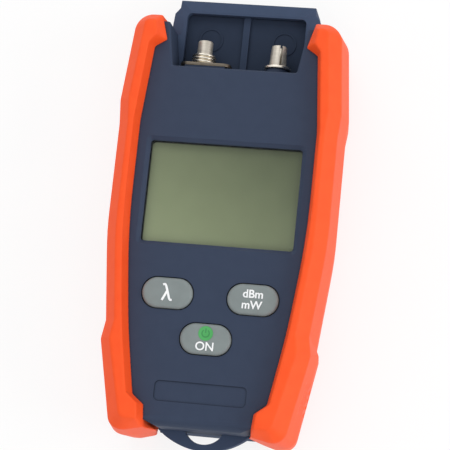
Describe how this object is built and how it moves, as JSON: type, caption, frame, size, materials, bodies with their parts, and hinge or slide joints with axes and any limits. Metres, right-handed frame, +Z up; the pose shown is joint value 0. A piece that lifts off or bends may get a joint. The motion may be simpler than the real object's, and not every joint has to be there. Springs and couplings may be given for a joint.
{
  "type": "optical power meter",
  "caption": "Handheld optical power meter with elastomer side grips, display, three keys, recessed fibre ports under a hood, lanyard loop and sliding battery door.",
  "frame": {"origin": "middle of the footprint, on the surface that the grips' rear pads rest on", "axes": "+X to the right of the face, +Y towards the fibre ports, +Z up out of the display"},
  "size_m": [0.0738, 0.1476, 0.0365],
  "materials": {
    "case_plastic": "fine spark-eroded slate plastic",
    "grip_elastomer": "soft orange elastomer with a satin skin",
    "key_plastic": "satin grey",
    "clear_window": "clear polished acrylic",
    "lcd_glass": "grey-green reflective display",
    "light_guide": "white acrylic",
    "frame_plastic": "black",
    "board_laminate": "green solder mask",
    "chip_epoxy": "black epoxy",
    "plunger_plastic": "natural",
    "nickel_plate": "bright nickel plate over brass",
    "screw_steel": "zinc plated",
    "cell_can": "black sleeve",
    "contact_steel": "nickel-plated spring steel"
  },
  "bodies": {
    "case": {"front_cover": "case_plastic", "rear_cover": "case_plastic", "port_panel": "case_plastic", "left_bumper": "grip_elastomer", "right_bumper": "grip_elastomer", "display_window": "clear_window", "lcd_panel": "lcd_glass", "backlight": "light_guide", "lcd_frame": "frame_plastic", "main_board": "board_laminate", "processor_chip": "chip_epoxy", "amplifier_chip": "chip_epoxy", "wavelength_switch": "chip_epoxy", "unit_switch": "chip_epoxy", "power_switch": "chip_epoxy", "detector_port": "nickel_plate", "detector_sleeve": "nickel_plate", "light_port": "nickel_plate", "light_sleeve": "nickel_plate", "photodiode": "nickel_plate", "light_source": "nickel_plate", "port_screws": "screw_steel", "case_screws": "screw_steel", "battery_left": "cell_can", "battery_right": "cell_can", "battery_bridge": "contact_steel", "battery_plus_contact": "contact_steel", "battery_minus_contact": "contact_steel"},
    "wavelength_key": {"wavelength_key": "key_plastic", "wavelength_plunger": "plunger_plastic"},
    "unit_key": {"unit_key": "key_plastic", "unit_plunger": "plunger_plastic"},
    "power_key": {"power_key": "key_plastic", "power_plunger": "plunger_plastic"},
    "battery_door": {"battery_door": "case_plastic"}
  },
  "joints": [
    {"name": "wavelength_press", "type": "slide", "parent": "case", "child": "wavelength_key", "axis": [0, 0, -1], "range_m": [0, 0.0008], "stiffness_N_per_m": 1500},
    {"name": "unit_press", "type": "slide", "parent": "case", "child": "unit_key", "axis": [0, 0, -1], "range_m": [0, 0.0008], "stiffness_N_per_m": 1500},
    {"name": "power_press", "type": "slide", "parent": "case", "child": "power_key", "axis": [0, 0, -1], "range_m": [0, 0.0008], "stiffness_N_per_m": 1500},
    {"name": "battery_door_slide", "type": "slide", "parent": "case", "child": "battery_door", "axis": [0, -1, 0], "range_m": [0, 0.056]}
  ]
}
